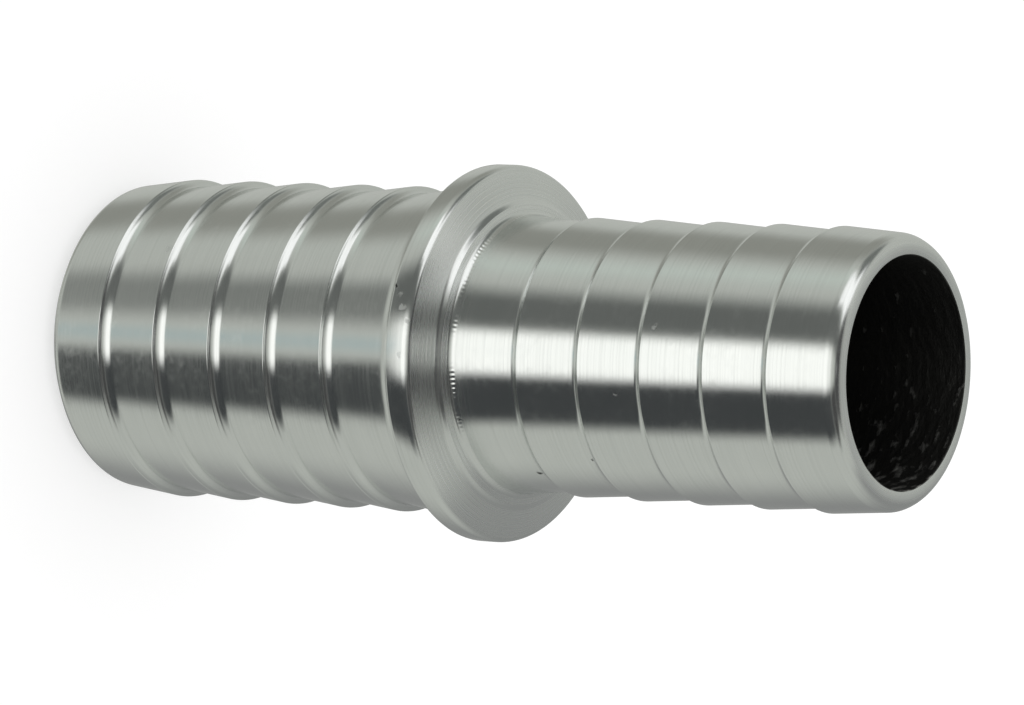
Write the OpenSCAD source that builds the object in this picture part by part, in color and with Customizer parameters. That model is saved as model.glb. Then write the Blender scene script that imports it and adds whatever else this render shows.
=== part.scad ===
// Hose barb reducer, turned from one steel bar.
// It stands on its large end, with its axis along Z and the origin in the middle of that end face.
// Every round face comes from one outline, drawn as radius against height and turned about Z.

/* [Large hose tail] */
// Crest diameter, which is the bore of the larger hose
large_d = 19; // [18:0.5:21]
// Number of barbs
large_barbs = 5; // [3:1:6]
// Distance from one barb to the next
large_pitch = 4.0; // [3.2:0.1:5]
// Depth of the groove behind each crest
large_groove = 0.46; // [0.2:0.02:0.7]
// Length over which the back face drops from a crest into its groove
large_back = 0.22; // [0.1:0.02:0.6]
// Distance from the end face to the first crest
large_lead = 4.4; // [3:0.1:7]
// Distance from the crest nearest the collar to the collar
large_gap = 5.6; // [4:0.1:8]

/* [Small hose tail] */
// Crest diameter, which is the bore of the smaller hose
small_d = 16; // [15:0.5:18]
// Number of barbs
small_barbs = 5; // [3:1:6]
// Distance from one barb to the next
small_pitch = 4.1; // [3.2:0.1:5]
// Depth of the groove behind each crest
small_groove = 0.28; // [0.16:0.02:0.6]
// Length over which the back face drops from a crest into its groove
small_back = 0.2; // [0.1:0.02:0.6]
// Distance from the end face to the first crest
small_lead = 4.2; // [3:0.1:7]
// Distance from the crest nearest the collar to the collar
small_gap = 5.5; // [4:0.1:8]

/* [Barbs] */
// Width of the narrow cylindrical land on every crest
crest_land = 0.1; // [0.05:0.05:0.5]
// Radius of the hollow in which the back face runs out into the next slope
groove_round = 0.6; // [0.1:0.05:1]

/* [Collar] */
// Diameter of the collar that stops both hoses
collar_d = 21.8; // [21.4:0.1:28]
// Width of the rim of the collar
collar_w = 1.45; // [0.8:0.05:4]
// Radius of the cove between the large tail and the collar
collar_cove = 1.65; // [0.3:0.05:3]
// How far the collar's flank leans out towards that cove
flank_lean = 0.27; // [0.05:0.01:1]
// Radius of the rim's edge on the side of the large tail
rim_edge = 0.2; // [0.05:0.05:0.3]
// Radius of the rim's edge on the side of the small tail
rim_round = 0.45; // [0.1:0.05:0.6]

/* [Neck] */
// How far the collar's face leans out from its rim to the low step at its root
face_lean = 0.65; // [0.1:0.05:1]
// Height of the step along the axis
step_h = 0.2; // [0.1:0.05:0.4]
// Width of the slope of the step
step_w = 0.25; // [0.1:0.05:0.4]
// Radius of the hollow at the foot of the step
step_hollow = 0.8; // [0.1:0.05:1]
// Radius of the edge at the top of the step
step_edge = 0.1; // [0.05:0.05:0.3]
// Width of the ring between the step and the small tail
ring_w = 0.65; // [0.3:0.05:0.8]
// How far that ring leans out towards the small tail
ring_lean = 0.15; // [0.05:0.05:0.4]
// Radius of the hollow corner at the root of the small tail
neck_fillet = 0.5; // [0.1:0.05:0.8]

/* [End faces] */
// Length of the bevel that lets a hose start on the large end
large_bevel_l = 0.85; // [0.3:0.05:1.5]
// Width of that bevel, across the end face
large_bevel_w = 0.95; // [0.2:0.05:1.2]
// Length of the bevel on the small end
small_bevel_l = 0.35; // [0.3:0.05:1.5]
// Width of that bevel, across the end face
small_bevel_w = 0.3; // [0.2:0.05:0.9]
// Radius of both edges of a bevel, which turns the short one into a single round edge
bevel_round = 0.6; // [0.1:0.05:1]

/* [Bores] */
// Diameter of the bore in the large tail
large_bore_d = 15; // [14:0.1:15.6]
// Depth of the bore in the large tail, to the start of its shoulder
large_bore_l = 24; // [10:0.5:30]
// Diameter of the bore in the small tail
small_bore_d = 13; // [11:0.1:13.2]
// Point angle of the drill that leaves the shoulder between the bores
drill_point = 118; // [90:1:140]

/* [Hidden] */

// Facets of one full turn, and the most that one chord of a rounded corner turns, in degrees
turn_fn = 180;
chord_turn = 16;
// The most of a straight stretch that its rounded ends may take up
rounded_share = 0.98;

large_tail_l = large_lead + (large_barbs - 1) * large_pitch + large_gap;
small_tail_l = small_lead + (small_barbs - 1) * small_pitch + small_gap;
collar_r = collar_d / 2;
collar_z = large_tail_l;
face_z = collar_z + collar_w;
step_z = face_z + face_lean;
ring_z = step_z + step_h;
neck_z = ring_z + ring_lean;
total_l = face_z + small_tail_l;

large_bore_r = large_bore_d / 2;
small_bore_r = small_bore_d / 2;
shoulder_l = (large_bore_r - small_bore_r) / tan(drill_point / 2);

// Radius at a distance before the next crest of the slope that climbs to it
function slope_r(crest_r, groove, back, pitch, to_crest) =
    crest_r - groove * to_crest / (pitch - back - crest_land);

// Corners of one tail, from its end face to the collar, as [radius, distance from the end, corner radius]
function tail(crest_r, groove, back, pitch, barbs, lead, bevel_l, bevel_w) = concat(
    let (edge_r = slope_r(crest_r, groove, back, pitch, lead - bevel_l))
    [[edge_r - bevel_w, 0, bevel_round],
     [edge_r, bevel_l, bevel_round]],
    [for (i = [0 : barbs - 1])
        let (at = lead + i * pitch)
        each [[crest_r, at, 0],
              [crest_r, at + crest_land, 0],
              [crest_r - groove, at + crest_land + back, groove_round]]]);

// The slope behind the crest nearest the collar climbs on past crest height, until it meets the collar
large_root_r = slope_r(large_d / 2, large_groove, large_back, large_pitch, large_pitch - large_gap);
small_root_r = slope_r(small_d / 2, small_groove, small_back, small_pitch,
                       small_pitch - small_gap + neck_z - face_z);
step_r = small_root_r + ring_w;

function flat(corner) = [corner[0], corner[1]];
function unit(v) = v / norm(v);

// Half the angle between the two straight stretches that meet in a corner
function half_angle(a, p, b) = acos(unit(a - p) * unit(b - p)) / 2;

// Stretch that each corner's radius takes up on both sides of it
function reaches(corners) =
    let (n = len(corners))
    [for (i = [0 : n - 1])
        let (p = corners[i], a = corners[(i + n - 1) % n], b = corners[(i + 1) % n])
        p[2] / tan(half_angle(flat(a), flat(p), flat(b)))];

// Share of two neighbouring corners' radii for which the stretch between them has room
function room(a, b, reach_a, reach_b) =
    reach_a + reach_b > 0 ? min(1, rounded_share * norm(b - a) / (reach_a + reach_b)) : 1;

// Arc that rounds the corner between a, p and b, tangent to both sides
function corner_arc(a, p, b, reach) =
    let (u = unit(a - p), v = unit(b - p),
         half = half_angle(a, p, b),
         radius = reach * tan(half),
         centre = p + unit(u + v) * reach / cos(half),
         from = p + u * reach - centre,
         to = p + v * reach - centre,
         start = atan2(from[1], from[0]),
         turn = atan2(from[0] * to[1] - from[1] * to[0], from * to),
         chords = ceil(abs(turn) / chord_turn))
    [for (i = [0 : chords])
        centre + radius * [cos(start + turn * i / chords), sin(start + turn * i / chords)]];

// The whole outline, with each corner that has a radius turned into its arc
function rounded(corners) =
    let (n = len(corners), reach = reaches(corners))
    [for (i = [0 : n - 1])
        let (h = (i + n - 1) % n, j = (i + 1) % n,
             a = flat(corners[h]), p = flat(corners[i]), b = flat(corners[j]),
             share = min(room(a, p, reach[h], reach[i]), room(p, b, reach[i], reach[j])))
        each (reach[i] > 0 ? corner_arc(a, p, b, reach[i] * share) : [p])];

large_corners = tail(large_d / 2, large_groove, large_back, large_pitch, large_barbs,
                     large_lead, large_bevel_l, large_bevel_w);
small_corners = tail(small_d / 2, small_groove, small_back, small_pitch, small_barbs,
                     small_lead, small_bevel_l, small_bevel_w);
collar_corners = [
    [large_root_r, collar_z - flank_lean, collar_cove],
    [collar_r, collar_z, rim_edge],
    [collar_r, face_z, rim_round],
    [step_r + step_w, step_z, step_hollow],
    [step_r, ring_z, step_edge],
    [small_root_r, neck_z, neck_fillet]];
bore_corners = [
    [small_bore_r, total_l, 0],
    [small_bore_r, large_bore_l + shoulder_l, 0],
    [large_bore_r, large_bore_l, 0],
    [large_bore_r, 0, 0]];
// The small tail's corners count from its own end, so they are turned round and taken from the top
small_from_collar = [for (i = [len(small_corners) - 1 : -1 : 0])
    [small_corners[i][0], total_l - small_corners[i][1], small_corners[i][2]]];

module barbed_reducer() {
    color("#9a9d9b")
        rotate_extrude($fn = turn_fn)
            polygon(rounded(concat(large_corners, collar_corners, small_from_collar, bore_corners)));
}

barbed_reducer();
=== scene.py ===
# %% [markdown]
# A hose barb reducer: one piece of steel turned on a lathe, then zinc plated until it shines.
# It joins a 19 mm hose to a 16 mm hose. The larger tail is at the bottom, where the part stands, and
# the smaller tail is at the top, with a collar between them that stops both hoses.
#
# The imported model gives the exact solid. This script gives it the turned and plated finish, a studio
# and a camera, and replaces the solid with a finer mesh. The mesh keeps the solid's outline, apart from
# the lands on the crests, the edge of the small end and the lean of one ring. Those differ by less than
# 0.3 mm, because their highlights then look more like the real ones.

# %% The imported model
from collections import namedtuple
from math import cos, radians, sin

import bmesh
import bpy
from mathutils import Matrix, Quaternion, Vector


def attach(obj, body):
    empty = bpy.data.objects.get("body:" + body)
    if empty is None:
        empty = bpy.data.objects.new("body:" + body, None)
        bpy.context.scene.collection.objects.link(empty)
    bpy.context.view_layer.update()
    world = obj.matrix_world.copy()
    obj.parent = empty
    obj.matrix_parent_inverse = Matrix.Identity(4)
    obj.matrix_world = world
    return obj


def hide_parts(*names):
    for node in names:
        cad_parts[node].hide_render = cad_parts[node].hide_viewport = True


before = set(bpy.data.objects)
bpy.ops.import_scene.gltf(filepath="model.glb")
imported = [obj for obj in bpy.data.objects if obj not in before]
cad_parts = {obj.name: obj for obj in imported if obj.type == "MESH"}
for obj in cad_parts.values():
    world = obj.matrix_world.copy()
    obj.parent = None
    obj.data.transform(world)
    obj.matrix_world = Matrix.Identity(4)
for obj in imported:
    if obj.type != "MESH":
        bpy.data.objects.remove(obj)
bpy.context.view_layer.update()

MM = 0.001
bpy.context.scene.view_settings.view_transform = "Standard"

# %% [markdown]
# Blender's nodes are easier to read in a script when one short function adds a node, sets its options
# and joins its inputs. An input may be a number, a socket, or another node, whose first output is meant.
#
# Colours are written as on a paint card, as sRGB hex values. Blender's sockets want linear light, so
# one function converts them.

# %% Helpers for nodes and colours
def add(tree, kind, inputs=None, choices=0, **settings):
    """Adds a node. Inputs are given by socket name or number, and only an index switch has choices."""
    node = tree.nodes.new(kind)
    for name, value in settings.items():
        setattr(node, name, value)
    # An index switch comes with two choices
    for extra in range(2, choices):
        node.index_switch_items.new()
    for key, value in (inputs or {}).items():
        if isinstance(value, bpy.types.Node):
            value = value.outputs[0]
        if isinstance(value, bpy.types.NodeSocket):
            tree.links.new(value, node.inputs[key])
        else:
            node.inputs[key].default_value = value
    return node


def paint(hex_colour):
    """Turns an sRGB hex colour into linear red, green, blue and alpha."""
    parts = [int(hex_colour[i:i + 2], 16) / 255 for i in (1, 3, 5)]
    return [c / 12.92 if c <= 0.04045 else ((c + 0.055) / 1.055) ** 2.4 for c in parts] + [1.0]


# %% [markdown]
# The photograph was taken with a long lens, looking down on the part at 34 degrees, with the camera
# turned on its side so that the part lies across the picture. The part itself stands on its large end,
# as it would on a bench, so here it is the camera that rolls.

# %% Camera
view_elevation = 34.0
camera_roll = 92.8
camera_distance = 0.32395
lens_mm, sensor_mm = 197.4, 36
nearest_seen = 0.01
aim = Vector((-0.07 * MM, 0, 27.28 * MM))

camera_data = bpy.data.cameras.new("camera")
camera_data.lens = lens_mm
camera_data.sensor_width = sensor_mm
camera_data.clip_start = nearest_seen
camera = bpy.data.objects.new("camera", camera_data)
bpy.context.scene.collection.objects.link(camera)
bpy.context.scene.camera = camera
towards = Quaternion((1, 0, 0), radians(-view_elevation)) @ Vector((0, 1, 0))
rolled = Quaternion((0, 0, 1), radians(camera_roll))
camera.location = aim - towards * camera_distance
camera.rotation_mode = "QUATERNION"
camera.rotation_quaternion = towards.to_track_quat("-Z", "Y") @ rolled
print("camera at", [round(v, 4) for v in camera.location])

# %% [markdown]
# Polished metal has hardly any colour of its own: what the eye sees is the room around it. A product
# photographer therefore hangs cards round such a part. A long white card in front gives the highlight,
# dark flags on both sides of it give the dark bands, and a soft box on the left, a dark ceiling and
# grey walls fill the rest. Real cards would get in the way of the camera and the floor, so these are
# painted on the sky, and each is one entry in a short list.

# %% Cards of the studio
studio_level = 1.3
wall_colour = "#a8aaa5"
# All in degrees: 0 is towards the camera, and minus is to its left. The middle counts at the horizon,
# and a leaning card moves sideways by that share of its height. Going up, a card starts at one height,
# is full from the second to the third, and ends at the last.
Card = namedtuple("Card", "middle half_width soft_side lean starts full_from full_to ends colour")
cards = {
    "dim wall behind": Card(150, 30, 50, 0, -91, -90, 42, 54, "#7e7f7e"),
    "left wall in shade": Card(-112, 18, 22, 0, -91, -90, 4, 24, "#83847e"),
    "left wall in light": Card(-76, 6, 20, 0, -50, -30, 4, 20, "#b2b9b3"),
    "left flag": Card(-35, 17, 20, 0, -64, -44, 64, 74, "#5a5c5a"),
    "right flag": Card(35, 23, 14, 0, -66, -52, 30, 44, "#383a3b"),
    "right flag's top": Card(46, 28, 16, 0, 30, 44, 64, 74, "#393939"),
    "ceiling": Card(0, 180, 0.1, 0, 60, 74, 91, 92, "#404040"),
    "gap behind the soft box": Card(-113, 18, 10, 0, 10, 24, 46, 56, "#636663"),
    "soft box": Card(-65, 16, 8, -0.22, 10, 17, 50, 60, "#f3f3f3"),
    "soft box's top": Card(-92, 30, 20, 0, 38, 52, 60, 70, "#f3f3f3"),
    "front card's foot": Card(-2, 5, 12, 0, -72, -50, -40, -20, "#9aa6a6"),
    "front card": Card(0, 17, 12, 0, -46, -26, 8, 56, "#fafaf7"),
    "lamp": Card(0, 16, 12, 0, 74, 78, 82, 86, "#808080")}
print("cards in the studio:", len(cards))

# %% [markdown]
# A direction on the sky has an angle round the part and a height above the horizon, and a card covers
# a stretch of both. A card that hangs close to a part is out of focus in it, so its edges are soft:
# Map Range nodes with smooth steps fade it out at both sides, at its foot and at its top.

# %% Hanging a card
def hang(tree, card, behind, azimuth, height):
    """Hangs one card in front of the colour behind it."""
    leant = add(tree, "ShaderNodeMath", {0: height, 1: card.lean, 2: card.middle}, operation="MULTIPLY_ADD")
    aside = add(tree, "ShaderNodeMath", {0: azimuth, 1: leant}, operation="SUBTRACT")
    round_it = add(tree, "ShaderNodeMath", {0: aside, 1: 180.0, 2: -180.0}, operation="WRAP")
    away = add(tree, "ShaderNodeMath", {0: round_it}, operation="ABSOLUTE")
    full_side = card.half_width - card.soft_side / 2
    last_side = card.half_width + card.soft_side / 2
    across = add(tree, "ShaderNodeMapRange", {0: away, 1: full_side, 2: last_side, 3: 1.0, 4: 0.0},
                 interpolation_type="SMOOTHSTEP")
    above = add(tree, "ShaderNodeMapRange",
                {0: height, 1: card.starts, 2: card.full_from, 3: 0.0, 4: across},
                interpolation_type="SMOOTHSTEP")
    share = add(tree, "ShaderNodeMapRange",
                {0: height, 1: card.full_to, 2: card.ends, 3: above, 4: 0.0},
                interpolation_type="SMOOTHSTEP")
    shown = add(tree, "ShaderNodeMix", {0: share, 6: behind, 7: paint(card.colour)}, data_type="RGBA")
    return shown.outputs[2]


# %% [markdown]
# In a sky the Generated coordinates are the direction in which a ray looks. Its two angles are worked
# out from them, and the cards are hung one in front of another, from the wall forwards.
#
# Only reflections see the cards. The camera sees plain white, and plain white light falls on the floor.
# The Light Path node tells these rays apart.

# %% Sky
world = bpy.data.worlds.new("studio")
bpy.context.scene.world = world
world.use_nodes = True
sky = world.node_tree
sky.nodes.clear()
direction = add(sky, "ShaderNodeSeparateXYZ", {0: add(sky, "ShaderNodeTexCoord").outputs["Generated"]})
backwards = add(sky, "ShaderNodeMath", {0: direction.outputs["Y"], 1: -1.0}, operation="MULTIPLY")
turn = add(sky, "ShaderNodeMath", {0: direction.outputs["X"], 1: backwards}, operation="ARCTAN2")
azimuth = add(sky, "ShaderNodeMath", {0: turn}, operation="DEGREES")
climb = add(sky, "ShaderNodeMath", {0: direction.outputs["Z"]}, operation="ARCSINE")
height = add(sky, "ShaderNodeMath", {0: climb}, operation="DEGREES")

tent = add(sky, "ShaderNodeRGB").outputs[0]
tent.default_value = paint(wall_colour)
for card in cards.values():
    tent = hang(sky, card, tent, azimuth, height)

reflected = add(sky, "ShaderNodeBackground", {"Color": tent, "Strength": studio_level})
plain = add(sky, "ShaderNodeBackground", {"Color": paint("#ffffff"), "Strength": 1.0})
rays = add(sky, "ShaderNodeLightPath").outputs
glossy = add(sky, "ShaderNodeMath", {0: rays["Is Glossy Ray"], 1: rays["Is Transmission Ray"]},
             operation="MAXIMUM")
seen = add(sky, "ShaderNodeMixShader", {0: glossy, 1: plain, 2: reflected})
add(sky, "ShaderNodeOutputWorld", {0: seen})
print("nodes in the sky:", len(sky.nodes))

# %% [markdown]
# The floor is a pale matt sheet. Part of what the camera sees of it is its own glow, so that it stays
# white, and the rest is lit, so that it still carries the part's soft shadow. Reflections don't see it,
# because they see the studio down there too.

# %% Floor
floor_half_width = 3.0
sheet_colour = "#c0c0c0"
sheet_glow = 0.55
left, right = -floor_half_width, floor_half_width
floor_mesh = bpy.data.meshes.new("floor")
floor_mesh.from_pydata([(left, left, 0), (right, left, 0), (right, right, 0), (left, right, 0)],
                       [], [(0, 1, 2, 3)])
floor = bpy.data.objects.new("floor", floor_mesh)
bpy.context.scene.collection.objects.link(floor)
floor.visible_glossy = False


def new_material(name):
    material = bpy.data.materials.new(name)
    material.use_nodes = True
    material.node_tree.nodes.clear()
    return material


sheet = new_material("matt_white_sheet")
lit = add(sheet.node_tree, "ShaderNodeBsdfDiffuse", {"Color": paint(sheet_colour)})
glow = add(sheet.node_tree, "ShaderNodeEmission", {"Color": paint("#ffffff"), "Strength": sheet_glow})
both = add(sheet.node_tree, "ShaderNodeAddShader", {0: lit, 1: glow})
add(sheet.node_tree, "ShaderNodeOutputMaterial", {0: both})
floor.data.materials.append(sheet)
print("floor is", 2 * floor_half_width, "m wide")

# %% [markdown]
# A lathe makes a round part from one outline, and Blender can do the same. The outline is a list of
# corners, each with its radius from the axis, its height and how far it is rounded. A node tree works
# the corners out from the sizes of the barbs, rounds them, and then sweeps the outline round a circle.
# A barb or a bevel is then one number to change, which a mesh drawn by hand wouldn't give.

# %% Sizes in millimetres
# The crest is a radius and the groove a depth below it, the back is the length of the back face, the lead
# runs from the end to the first crest, and the gap from the last crest to the collar
large_tail = {"Barbs": 5, "Crest": 9.5, "Groove": 0.46, "Back": 0.22, "Pitch": 4.0, "Lead": 4.4,
              "Bevel Length": 0.85, "Bevel Width": 0.95}
small_tail = {"Barbs": 5, "Crest": 8.0, "Groove": 0.28, "Back": 0.2, "Pitch": 4.1, "Lead": 4.2,
              "Bevel Length": 0.65, "Bevel Width": 0.34}
large_gap, small_gap = 5.6, 5.5
barb_edges = {"Land": 0.03, "Crest Round": 0.03, "Groove Round": 0.6, "Bevel Round": 0.8}
collar = {"Radius": 10.9, "Width": 1.45, "Cove": 1.65, "Flank Lean": 0.27, "Flank Edge": 0.2,
          "Face Edge": 0.45, "Face Lean": 0.65}
# A low step runs round the root of the collar's face, and the small tail rises from the ring inside it
neck = {"Step Height": 0.2, "Step Width": 0.25, "Hollow": 0.8, "Step Edge": 0.1,
        "Ring Width": 0.65, "Ring Lean": 0.2, "Fillet": 0.5}
large_bore, large_depth = 7.5, 24.0
small_bore, shoulder = 6.5, 0.6
bore_edge = 0.06
print("crests across:", 2 * large_tail["Crest"], "and", 2 * small_tail["Crest"], "mm")

# %% [markdown]
# Four stretches make up the outline: the large tail, the collar, the small tail and the bore. The
# points of each stretch are numbered, so that one curve can later run through all of them in turn. The
# collar and the bore have too few corners to need a rule, so theirs are given one by one.

# %% Stretches of the outline
# Number of each stretch's first corner. The small tail counts down, because it starts at its end face
large_turn, collar_turn, small_turn, bore_turn = 0.0, 100.0, 200.0, 300.0


def new_tree(name):
    tree = bpy.data.node_groups.new(name, "GeometryNodeTree")
    tree.interface.new_socket("Geometry", in_out="OUTPUT", socket_type="NodeSocketGeometry")
    return tree


def store_corner(tree, line, radius, height, corner, order):
    """Puts a line's points where corners are, and keeps each one's rounding and its number."""
    place = add(tree, "ShaderNodeCombineXYZ", {0: radius, 1: height})
    placed = add(tree, "GeometryNodeSetPosition", {"Geometry": line, "Position": place})
    rounded = add(tree, "GeometryNodeStoreNamedAttribute",
                  {"Geometry": placed, "Name": "corner", "Value": corner}, data_type="FLOAT", domain="POINT")
    return add(tree, "GeometryNodeStoreNamedAttribute",
               {"Geometry": rounded, "Name": "order", "Value": order}, data_type="FLOAT", domain="POINT")


def fixed_corners(tree, corners, first_turn):
    """A stretch of the outline with its corners given one by one, in millimetres."""
    index = add(tree, "GeometryNodeInputIndex")
    line = add(tree, "GeometryNodeMeshLine", {"Count": len(corners)}, mode="OFFSET", count_mode="TOTAL")
    radius, height, corner = (
        add(tree, "GeometryNodeIndexSwitch", {0: index, **dict(enumerate(values, start=1))},
            choices=len(corners), data_type="FLOAT")
        for values in zip(*corners))
    order = add(tree, "ShaderNodeMath", {0: index, 1: first_turn}, operation="ADD")
    return store_corner(tree, line, radius, height, corner, order)


# %% [markdown]
# Both tails have the same rule: a ring and a bevel at the end, then for every barb a slope that climbs
# to a crest, a narrow land on the crest, and a back face that drops into the next groove. So one tree
# serves both. Each corner finds from its own number which barb it is on and which step of that barb
# it is, and index switches pick its radius and its distance from the end to suit.

# %% Tree for one tail
end_corners, barb_corners = 2, 3


def barbed_tail_tree():
    tree = new_tree("barbed_tail")
    tree.interface.new_socket("Barbs", in_out="INPUT", socket_type="NodeSocketInt")
    for name in ("Crest", "Groove", "Back", "Pitch", "Lead", "Land", "Bevel Length", "Bevel Width",
                 "Bevel Round", "Crest Round", "Groove Round", "End Height", "Towards Collar", "First Turn"):
        tree.interface.new_socket(name, in_out="INPUT", socket_type="NodeSocketFloat")
    size = add(tree, "NodeGroupInput").outputs
    index = add(tree, "GeometryNodeInputIndex")
    count = add(tree, "FunctionNodeIntegerMath", {0: size["Barbs"], 1: barb_corners, 2: end_corners},
                operation="MULTIPLY_ADD")
    line = add(tree, "GeometryNodeMeshLine", {"Count": count}, mode="OFFSET", count_mode="TOTAL")
    after_end = add(tree, "FunctionNodeIntegerMath", {0: index, 1: end_corners}, operation="SUBTRACT")
    barb = add(tree, "FunctionNodeIntegerMath", {0: after_end, 1: barb_corners}, operation="DIVIDE_FLOOR")
    step = add(tree, "FunctionNodeIntegerMath", {0: after_end, 1: barb_corners}, operation="MODULO")
    place = add(tree, "ShaderNodeMath", {0: index, 1: float(end_corners)}, operation="MINIMUM")

    # The bevel ends on the first slope, at the radius that the slope has there
    land_end = add(tree, "ShaderNodeMath", {0: size["Land"], 1: size["Back"]}, operation="ADD")
    slope_length = add(tree, "ShaderNodeMath", {0: size["Pitch"], 1: land_end}, operation="SUBTRACT")
    climb = add(tree, "ShaderNodeMath", {0: size["Lead"], 1: size["Bevel Length"]}, operation="SUBTRACT")
    share = add(tree, "ShaderNodeMath", {0: climb, 1: slope_length}, operation="DIVIDE")
    drop = add(tree, "ShaderNodeMath", {0: size["Groove"], 1: share}, operation="MULTIPLY")
    bevel_radius = add(tree, "ShaderNodeMath", {0: size["Crest"], 1: drop}, operation="SUBTRACT")
    ring_radius = add(tree, "ShaderNodeMath", {0: bevel_radius, 1: size["Bevel Width"]},
                      operation="SUBTRACT")
    groove_radius = add(tree, "ShaderNodeMath", {0: size["Crest"], 1: size["Groove"]}, operation="SUBTRACT")

    in_barb = add(tree, "GeometryNodeIndexSwitch", {0: step, 1: 0.0, 2: size["Land"], 3: land_end},
                  choices=barb_corners, data_type="FLOAT")
    crest_at = add(tree, "ShaderNodeMath", {0: barb, 1: size["Pitch"], 2: size["Lead"]},
                   operation="MULTIPLY_ADD")
    barb_distance = add(tree, "ShaderNodeMath", {0: crest_at, 1: in_barb}, operation="ADD")
    distance = add(tree, "GeometryNodeIndexSwitch",
                   {0: place, 1: 0.0, 2: size["Bevel Length"], 3: barb_distance},
                   choices=end_corners + 1, data_type="FLOAT")

    barb_radius = add(tree, "GeometryNodeIndexSwitch",
                      {0: step, 1: size["Crest"], 2: size["Crest"], 3: groove_radius},
                      choices=barb_corners, data_type="FLOAT")
    radius = add(tree, "GeometryNodeIndexSwitch",
                 {0: place, 1: ring_radius, 2: bevel_radius, 3: barb_radius},
                 choices=end_corners + 1, data_type="FLOAT")

    barb_corner = add(tree, "GeometryNodeIndexSwitch",
                      {0: step, 1: size["Crest Round"], 2: size["Crest Round"], 3: size["Groove Round"]},
                      choices=barb_corners, data_type="FLOAT")
    corner = add(tree, "GeometryNodeIndexSwitch",
                 {0: place, 1: size["Bevel Round"], 2: size["Bevel Round"], 3: barb_corner},
                 choices=end_corners + 1, data_type="FLOAT")

    height = add(tree, "ShaderNodeMath", {0: distance, 1: size["Towards Collar"], 2: size["End Height"]},
                 operation="MULTIPLY_ADD")
    order = add(tree, "ShaderNodeMath", {0: index, 1: size["Towards Collar"], 2: size["First Turn"]},
                operation="MULTIPLY_ADD")
    add(tree, "NodeGroupOutput", {0: store_corner(tree, line, radius, height, corner, order)})
    return tree


tail_tree = barbed_tail_tree()
print("tail tree:", len(tail_tree.nodes), "nodes")

# %% [markdown]
# The slope behind the last crest of each tail climbs on until it meets the collar. Its radius there
# and the heights of the collar follow from the sizes of the tails, so nothing has to be measured twice.

# %% Corners of the collar and the bore
def slope_radius(tail, to_crest):
    """Radius of a slope at a distance before its crest."""
    slope_length = tail["Pitch"] - tail["Back"] - barb_edges["Land"]
    return tail["Crest"] - tail["Groove"] * to_crest / slope_length


def tail_length(tail, gap):
    return tail["Lead"] + (tail["Barbs"] - 1) * tail["Pitch"] + gap


collar_height = tail_length(large_tail, large_gap)
face_height = collar_height + collar["Width"]
total_height = face_height + tail_length(small_tail, small_gap)
step_height = face_height + collar["Face Lean"]
ring_height = step_height + neck["Step Height"]
neck_height = ring_height + neck["Ring Lean"]
large_root = slope_radius(large_tail, large_tail["Pitch"] - large_gap)
small_root = slope_radius(small_tail, small_tail["Pitch"] - small_gap + neck_height - face_height)
step_radius = small_root + neck["Ring Width"]

collar_corners = [(large_root, collar_height - collar["Flank Lean"], collar["Cove"]),
                  (collar["Radius"], collar_height, collar["Flank Edge"]),
                  (collar["Radius"], face_height, collar["Face Edge"]),
                  (step_radius + neck["Step Width"], step_height, neck["Hollow"]),
                  (step_radius, ring_height, neck["Step Edge"]),
                  (small_root, neck_height, neck["Fillet"])]
bore_corners = [(small_bore, total_height, bore_edge), (small_bore, large_depth + shoulder, 0.0),
                (large_bore, large_depth, 0.0), (large_bore, 0.0, bore_edge)]
print("height", round(total_height, 3), "mm")

# %% [markdown]
# The corners become points, the points one closed curve, and Fillet Curve rounds every corner by its
# own radius. A wide cove needs more steps than a narrow edge, so their number grows with the radius.

# %% Tree for the whole outline
fewest_steps, most_steps, widest_round = 2.0, 26.0, 1.7


def whole_outline(tree):
    """The closed and rounded outline, which knows which of its points lie in the bore."""
    large = {**large_tail, **barb_edges, "End Height": 0.0, "Towards Collar": 1.0, "First Turn": large_turn}
    small = {**small_tail, **barb_edges, "End Height": total_height, "Towards Collar": -1.0,
             "First Turn": small_turn}
    stretches = [add(tree, "GeometryNodeGroup", large, node_tree=tail_tree),
                 add(tree, "GeometryNodeGroup", small, node_tree=tail_tree),
                 fixed_corners(tree, collar_corners, collar_turn),
                 fixed_corners(tree, bore_corners, bore_turn)]
    joined = add(tree, "GeometryNodeJoinGeometry")
    for stretch in stretches:
        tree.links.new(stretch.outputs[0], joined.inputs[0])
    points = add(tree, "GeometryNodeMeshToPoints", {"Mesh": joined})
    order = add(tree, "GeometryNodeInputNamedAttribute", {"Name": "order"}, data_type="FLOAT")
    in_bore = add(tree, "FunctionNodeCompare", {0: order, 1: bore_turn - 0.5}, data_type="FLOAT",
                  operation="GREATER_THAN")
    marked = add(tree, "GeometryNodeStoreNamedAttribute",
                 {"Geometry": points, "Name": "bore", "Value": in_bore}, data_type="BOOLEAN", domain="POINT")
    outline = add(tree, "GeometryNodePointsToCurves", {"Points": marked, "Weight": order})
    closed = add(tree, "GeometryNodeSetSplineCyclic", {"Geometry": outline, "Cyclic": True})
    corner = add(tree, "GeometryNodeInputNamedAttribute", {"Name": "corner"}, data_type="FLOAT")
    steps = add(tree, "ShaderNodeMapRange",
                {0: corner, 1: 0.0, 2: widest_round, 3: fewest_steps, 4: most_steps})
    return add(tree, "GeometryNodeFilletCurve",
               {"Curve": closed, "Count": steps, "Radius": corner, "Limit Radius": True}, mode="POLY")


# %% [markdown]
# Curve to Mesh sweeps the outline round a circle, which is what the lathe does. It draws the outline
# from the circle outwards, so the outline is first moved in by the circle's radius. The mesh gets the
# plate all over, and then the bare finish of the bore on the faces that came from the bore's corners.

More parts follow.
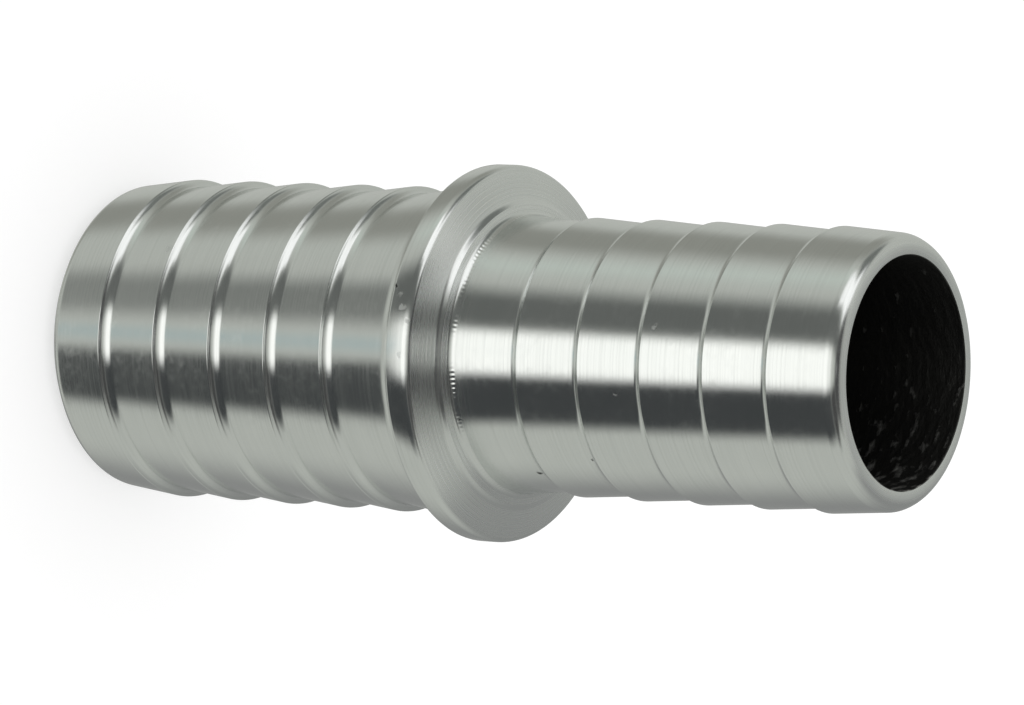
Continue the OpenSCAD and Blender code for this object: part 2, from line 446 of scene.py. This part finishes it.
# %% Tree for the lathe
def lathe_tree(outside, inside):
    tree = new_tree("turned_reducer")
    tree.interface.new_socket("Facets Round", in_out="INPUT", socket_type="NodeSocketInt")
    size = add(tree, "NodeGroupInput").outputs
    shifted = add(tree, "GeometryNodeTransform",
                  {"Geometry": whole_outline(tree), "Translation": (-small_bore, 0, 0), "Scale": (1, -1, 1)})
    circle = add(tree, "GeometryNodeCurvePrimitiveCircle",
                 {"Resolution": size["Facets Round"], "Radius": small_bore}, mode="RADIUS")
    upright = add(tree, "GeometryNodeSetCurveNormal", {"Curve": circle}, mode="Z_UP")
    turned = add(tree, "GeometryNodeCurveToMesh", {"Curve": upright, "Profile Curve": shifted})
    metres = add(tree, "GeometryNodeTransform", {"Geometry": turned, "Scale": (MM, MM, MM)})
    smooth = add(tree, "GeometryNodeSetShadeSmooth", {"Geometry": metres})
    real = add(tree, "GeometryNodeRealizeInstances", {"Geometry": smooth})
    plated = add(tree, "GeometryNodeSetMaterial", {"Geometry": real, "Material": outside})
    bored = add(tree, "GeometryNodeInputNamedAttribute", {"Name": "bore"}, data_type="BOOLEAN")
    both = add(tree, "GeometryNodeSetMaterial", {"Geometry": plated, "Selection": bored, "Material": inside})
    add(tree, "NodeGroupOutput", {0: both})
    return tree


# %% [markdown]
# Bright zinc plate on turned steel is a metal with a satin grain: the tool leaves fine lines round the
# axis, so reflections stay sharp round the part and are drawn out along it. Where the tool tore the
# steel a little, small patches stay dull under the plate, and they mottle the dark reflections. The
# collar's face was cut across, so its lines are circles, and it is the dullest of all.
#
# The lines depend only on the height and on the distance from the axis, so a flat noise over those two
# gives them. The patches and a wider cloud, which says where they are thick, are noise in space.

# %% Patterns on the plate
# Turned lines are drawn coarser than the real feed of about 0.08 mm, which would not show
feed = 0.13 * MM
patch_size = 0.45 * MM
cloud_size = 3.0 * MM
noise_detail = 2.0
# How steeply the surface looks up or down where a face starts, and where it is one for certain
face_from, face_full = 0.88, 0.95
Patterns = namedtuple("Patterns", "place part lines patches cloud on_face")
print("turned lines about every", round(feed / MM, 2), "mm")


def plate_patterns(tree):
    """Where a point is on the part, and the noise and the faces that the finish is made from."""
    coordinates = add(tree, "ShaderNodeTexCoord").outputs
    place = coordinates["Object"]
    part = add(tree, "ShaderNodeSeparateXYZ", {0: place}).outputs
    flat = add(tree, "ShaderNodeCombineXYZ", {0: part["X"], 1: part["Y"]})
    radius = add(tree, "ShaderNodeVectorMath", {0: flat}, operation="LENGTH").outputs["Value"]
    along = add(tree, "ShaderNodeCombineXYZ", {0: radius, 1: part["Z"]})
    lines = add(tree, "ShaderNodeTexNoise", {"Vector": along, "Scale": 1 / feed, "Detail": noise_detail},
                noise_dimensions="2D")
    patches = add(tree, "ShaderNodeTexNoise",
                  {"Vector": place, "Scale": 1 / patch_size, "Detail": noise_detail})
    cloud = add(tree, "ShaderNodeTexNoise",
                {"Vector": place, "Scale": 1 / cloud_size, "Detail": noise_detail})
    facing = add(tree, "ShaderNodeSeparateXYZ", {0: coordinates["Normal"]})
    slant = add(tree, "ShaderNodeMath", {0: facing.outputs["Z"]}, operation="ABSOLUTE")
    on_face = add(tree, "ShaderNodeMapRange", {0: slant, 1: face_from, 2: face_full})
    return Patterns(place, part, lines, patches, cloud, on_face)


# %% [markdown]
# A few pits and scuffs lie on the part by themselves. They follow no rule, so each is listed with its
# place, in degrees and millimetres. Such marks have ragged edges, so a point looks them up a little
# beside its own place, by a distance that the noise of the patches gives.

# %% Pits and scuffs
Mark = namedtuple("Mark", "degrees_round height radius half_width")
pits = [Mark(59.5, 32.2, 7.75, 0.2), Mark(47, 36.5, 7.74, 0.1), Mark(29, 28.75, 7.95, 0.17),
        Mark(-19, 26.1, 10.9, 0.14)]
scuffs = [Mark(-33, 8.2, 9.45, 0.35), Mark(-13.5, 41.85, 7.95, 0.18), Mark(-12, 26.9, 10.9, 0.3),
          Mark(-8.5, 27.3, 10.85, 0.25), Mark(-16, 26.6, 10.9, 0.28), Mark(2, 27.0, 10.9, 0.2),
          Mark(14, 39.4, 7.8, 0.14), Mark(16, 39.9, 7.85, 0.16)]
# How far the noise moves an edge in all, and the share of a mark's width that counts in full
ragged = 0.7 * MM
full_share = 0.3
print("pits:", len(pits), "scuffs:", len(scuffs))


def marks_on(tree, plate, marks):
    """Is 1 in the middle of each mark and 0 away from them all."""
    shaken = add(tree, "ShaderNodeVectorMath",
                 {0: plate.patches.outputs["Color"], 1: (ragged,) * 3, 2: plate.place},
                 operation="MULTIPLY_ADD")
    beside = add(tree, "ShaderNodeVectorMath", {0: shaken, 1: (ragged / 2,) * 3}, operation="SUBTRACT")
    found = 0.0
    for mark in marks:
        turned = radians(mark.degrees_round)
        centre = (mark.radius * sin(turned) * MM, -mark.radius * cos(turned) * MM, mark.height * MM)
        away = add(tree, "ShaderNodeVectorMath", {0: beside, 1: centre}, operation="DISTANCE")
        inside = add(tree, "ShaderNodeMapRange",
                     {0: away.outputs["Value"], 1: full_share * mark.half_width * MM,
                      2: mark.half_width * MM, 3: 1.0, 4: 0.0})
        found = add(tree, "ShaderNodeMath", {0: found, 1: inside}, operation="MAXIMUM")
    return found


# %% [markdown]
# How dull the plate is at a point decides its roughness. The dullest of the patches, the worn lines,
# the face and the scuffs counts, which is what Maximum gives.

# %% Roughness of the plate
gloss, dull = 0.14, 0.42
# Where each pattern starts to dull the plate, where it does so in full, and how dull that is
torn_from, torn_full, torn_dullness = 0.38, 0.9, 0.45
cloud_from, cloud_full = 0.35, 0.6
worn_from, worn_full, worn_dullness = 0.4, 0.75, 0.22
circle_from, circle_full, circle_gap_dullness, circle_dullness = 0.3, 0.7, 0.35, 0.8
print("roughness of the plate from", gloss, "to", dull)


def plate_roughness(tree, plate, worn, scuff):
    torn = add(tree, "ShaderNodeMapRange",
               {0: plate.patches, 1: torn_from, 2: torn_full, 3: 0.0, 4: torn_dullness})
    in_cloud = add(tree, "ShaderNodeMapRange", {0: plate.cloud, 1: cloud_from, 2: cloud_full})
    torn_here = add(tree, "ShaderNodeMath", {0: torn, 1: in_cloud}, operation="MULTIPLY")
    circles = add(tree, "ShaderNodeMapRange",
                  {0: plate.lines, 1: circle_from, 2: circle_full,
                   3: circle_gap_dullness, 4: circle_dullness})
    dull_face = add(tree, "ShaderNodeMath", {0: plate.on_face, 1: circles}, operation="MULTIPLY")
    dullest = torn_here
    for other in (worn, dull_face, scuff):
        dullest = add(tree, "ShaderNodeMath", {0: dullest, 1: other}, operation="MAXIMUM")
    return add(tree, "ShaderNodeMapRange", {0: dullest, 3: gloss, 4: dull})


# %% [markdown]
# Bright zinc is a pale and nearly neutral grey, which differs a little from place to place. It is a
# shade darker along worn lines, and light hardly comes out of a pit, so that is nearly black.

# %% Colour of the plate
plate_greys = "#e1e4e2", "#e9ebe9"
worn_grey = "#d2d5d2"
pit_black = "#3c3c3a"


def plate_colour(tree, plate, worn, pit):
    clean = add(tree, "ShaderNodeMix", {0: plate.cloud, 6: paint(plate_greys[0]), 7: paint(plate_greys[1])},
                data_type="RGBA")
    lined = add(tree, "ShaderNodeMix", {0: worn, 6: clean.outputs[2], 7: paint(worn_grey)}, data_type="RGBA")
    pitted = add(tree, "ShaderNodeMix", {0: pit, 6: lined.outputs[2], 7: paint(pit_black)}, data_type="RGBA")
    return pitted.outputs[2]


# %% [markdown]
# The tool chattered at the foot of the small tail and left a row of tiny ridges there, which are a
# wave round the axis. The row comes and goes, and is faintest on the side that faces the camera.

# %% Chatter marks
chatter_height, chatter_half_width, chatter_ridges = 28.66 * MM, 0.16 * MM, 190.0
chatter_from, chatter_full, faintest_chatter = 0.42, 0.58, 0.15
faint_turn, full_turn = radians(7), radians(11)
print("chatter ridges in one turn:", int(chatter_ridges))


def chatter_marks(tree, plate):
    """Height of the ridges, from -1 to 1, and 0 away from their row."""
    backwards = add(tree, "ShaderNodeMath", {0: plate.part["Y"], 1: -1.0}, operation="MULTIPLY")
    turned = add(tree, "ShaderNodeMath", {0: plate.part["X"], 1: backwards}, operation="ARCTAN2")
    ridge_turn = add(tree, "ShaderNodeMath", {0: turned, 1: chatter_ridges}, operation="MULTIPLY")
    ridges = add(tree, "ShaderNodeMath", {0: ridge_turn}, operation="SINE")
    above = add(tree, "ShaderNodeMath", {0: plate.part["Z"], 1: chatter_height}, operation="SUBTRACT")
    off = add(tree, "ShaderNodeMath", {0: above}, operation="ABSOLUTE")
    reach = add(tree, "ShaderNodeMapRange", {0: off, 1: 0.0, 2: chatter_half_width, 3: 1.0, 4: 0.0})
    here = add(tree, "ShaderNodeMapRange",
               {0: plate.cloud, 1: chatter_from, 2: chatter_full, 3: faintest_chatter, 4: 1.0})
    away = add(tree, "ShaderNodeMath", {0: turned}, operation="ABSOLUTE")
    beside = add(tree, "ShaderNodeMapRange",
                 {0: away, 1: faint_turn, 2: full_turn, 3: faintest_chatter, 4: 1.0})
    chatter = ridges
    for share in (reach, here, beside):
        chatter = add(tree, "ShaderNodeMath", {0: chatter, 1: share}, operation="MULTIPLY")
    return chatter


# %% [markdown]
# The unevenness of the plate is far too small for the mesh, so bump nodes carry it, each on top of the
# one before. Their distances are real heights, from a few thousandths of a millimetre for the grain to
# about a hundredth for the chatter.

# %% Unevenness of the plate
grain_height, line_height, ridge_height, mark_depth = 0.0025 * MM, 0.003 * MM, 0.009 * MM, 0.007 * MM
fine_strength = 0.5
# A scuff is much shallower than a pit
scuff_share = 0.3
print("chatter ridges are up to", round(ridge_height / MM, 3), "mm high")


def plate_bumps(tree, plate, pit, scuff):
    grain = add(tree, "ShaderNodeBump",
                {"Height": plate.patches, "Distance": grain_height, "Strength": fine_strength})
    cut = add(tree, "ShaderNodeBump",
              {"Height": plate.lines, "Distance": line_height, "Strength": fine_strength, "Normal": grain})
    chatter = chatter_marks(tree, plate)
    ridged = add(tree, "ShaderNodeBump",
                 {"Height": chatter, "Distance": ridge_height, "Strength": 1.0, "Normal": cut})
    marks = add(tree, "ShaderNodeMath", {0: scuff, 1: scuff_share, 2: pit}, operation="MULTIPLY_ADD")
    return add(tree, "ShaderNodeBump",
               {"Height": marks, "Distance": mark_depth, "Strength": 1.0, "Normal": ridged}, invert=True)


# %% [markdown]
# All this meets in one Principled shader. Its tangent runs round the axis, and a quarter turn sets the
# anisotropy across the turned lines, so that highlights are drawn out along the part.

# %% Zinc plated steel
anisotropy = 0.7
quarter_turn = 0.25


def zinc_plated_turned_steel():
    material = new_material("zinc_plated_turned_steel")
    tree = material.node_tree
    plate = plate_patterns(tree)
    worn = add(tree, "ShaderNodeMapRange",
               {0: plate.lines, 1: worn_from, 2: worn_full, 3: 0.0, 4: worn_dullness})
    pit = marks_on(tree, plate, pits)
    scuff = marks_on(tree, plate, scuffs)
    round_axis = add(tree, "ShaderNodeTangent", direction_type="RADIAL", axis="Z")
    shader = add(tree, "ShaderNodeBsdfPrincipled",
                 {"Base Color": plate_colour(tree, plate, worn, pit), "Metallic": 1.0,
                  "Roughness": plate_roughness(tree, plate, worn, scuff), "Anisotropic": anisotropy,
                  "Anisotropic Rotation": quarter_turn, "Tangent": round_axis,
                  "Normal": plate_bumps(tree, plate, pit, scuff)})
    add(tree, "ShaderNodeOutputMaterial", {0: shader})
    return material


plated = zinc_plated_turned_steel()
print("nodes in the plate's finish:", len(plated.node_tree.nodes))


# %% [markdown]
# The bore was drilled and has hardly any plate: it is dull steel with torn flecks, drawn out round the
# bore by the drill, and they catch what light comes in at the mouth. Its grey is painted much darker
# than steel, which is painted shade inside the bore. The flecks are noise on the bore's wall as if it
# were unrolled flat, and they are drawn coarser than real ones, to show. More of them are painted on
# the side that sees the soft box through the mouth, which is painted light.

# %% Drilled bore
fleck_size = 0.55 * MM
fleck_stretch = 2.0
fleck_detail = 4.0
fleck_depth = 0.1 * MM
fleck_from, fleck_full = 0.7, 0.95
# More bright flecks are painted on the side that sees the soft box through the mouth: painted light
lit_side_from, lit_side_full, lit_side_more = -1.0 * MM, 6.0 * MM, 0.18
# The first grey, much darker than steel, is painted shade inside the bore
painted_shade_grey, fleck_grey = "#454543", "#d2d2ce"
bore_roughness = 0.5


def drilled_bore():
    material = new_material("drilled_bore")
    tree = material.node_tree
    part = add(tree, "ShaderNodeSeparateXYZ", {0: add(tree, "ShaderNodeTexCoord").outputs["Object"]}).outputs
    turned = add(tree, "ShaderNodeMath", {0: part["Y"], 1: part["X"]}, operation="ARCTAN2")
    way_round = add(tree, "ShaderNodeMath", {0: turned, 1: small_bore * MM / fleck_stretch},
                    operation="MULTIPLY")
    unrolled = add(tree, "ShaderNodeCombineXYZ", {0: way_round, 1: part["Z"]})
    grain = add(tree, "ShaderNodeTexNoise",
                {"Vector": unrolled, "Scale": 1 / fleck_size, "Detail": fleck_detail}, noise_dimensions="2D")
    # Painted light: more bright flecks towards +X, where the soft box shines in at the mouth
    lit_side = add(tree, "ShaderNodeMapRange",
               {0: part["X"], 1: lit_side_from, 2: lit_side_full, 3: 0.0, 4: lit_side_more})
    rough = add(tree, "ShaderNodeMath", {0: grain, 1: lit_side}, operation="ADD")
    flecks = add(tree, "ShaderNodeMapRange", {0: rough, 1: fleck_from, 2: fleck_full})
    # Painted shade: the bore's wall is mostly the very dark grey
    colour = add(tree, "ShaderNodeMix", {0: flecks, 6: paint(painted_shade_grey), 7: paint(fleck_grey)},
                 data_type="RGBA")
    torn = add(tree, "ShaderNodeBump", {"Height": grain, "Distance": fleck_depth, "Strength": 1.0})
    shader = add(tree, "ShaderNodeBsdfPrincipled",
                 {"Base Color": colour.outputs[2], "Metallic": 1.0, "Roughness": bore_roughness,
                  "Normal": torn})
    add(tree, "ShaderNodeOutputMaterial", {0: shader})
    return material


bare = drilled_bore()
print("nodes in the bore's finish:", len(bare.node_tree.nodes))


# %% [markdown]
# A node tree works as a modifier, so it goes on an empty mesh, and its result is kept as a plain mesh.
# That is the blank as it comes off the lathe. The tree's input is set before Blender works it out.

# %% Turning the reducer
# A little over one degree each, which keeps the piece under 200,000 triangles
facets_round = 320


def plain_mesh(piece):
    """The mesh that a piece's modifiers make."""
    return bpy.data.meshes.new_from_object(piece.evaluated_get(bpy.context.evaluated_depsgraph_get()))


tree = lathe_tree(plated, bare)
facets_input = next(s.identifier for s in tree.interface.items_tree if s.name == "Facets Round")
blank = bpy.data.objects.new("blank", bpy.data.meshes.new("blank"))
bpy.context.scene.collection.objects.link(blank)
lathe = blank.modifiers.new("lathe", "NODES")
lathe.node_group = tree
lathe[facets_input] = facets_round
reducer = bpy.data.objects.new("turned_reducer", plain_mesh(blank))
bpy.context.scene.collection.objects.link(reducer)
bpy.data.objects.remove(blank)
print("quads off the lathe:", len(reducer.data.polygons))

# %% [markdown]
# Points that lie on each other are merged, and all faces are turned outwards. Smooth shading on its own
# also bends the light on flat faces beside an edge. Weighted normals follow the large faces, so those
# look flat.

# %% Cleaning it up
same_point = 0.0001 * MM
largest_face_only = 100

shape = bmesh.new()
shape.from_mesh(reducer.data)
bmesh.ops.remove_doubles(shape, verts=shape.verts, dist=same_point)
bmesh.ops.recalc_face_normals(shape, faces=shape.faces)
open_edges = sum(not edge.is_manifold for edge in shape.edges)
print("triangles", 2 * len(shape.faces), "open edges", open_edges,
      "volume mm3", round(shape.calc_volume(signed=True) / MM ** 3, 1))
shape.to_mesh(reducer.data)
shape.free()

weigh = reducer.modifiers.new("flat faces stay flat", "WEIGHTED_NORMAL")
weigh.weight = largest_face_only
reducer.data = plain_mesh(reducer)
reducer.modifiers.clear()
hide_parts("barbed_reducer")
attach(reducer, "root")
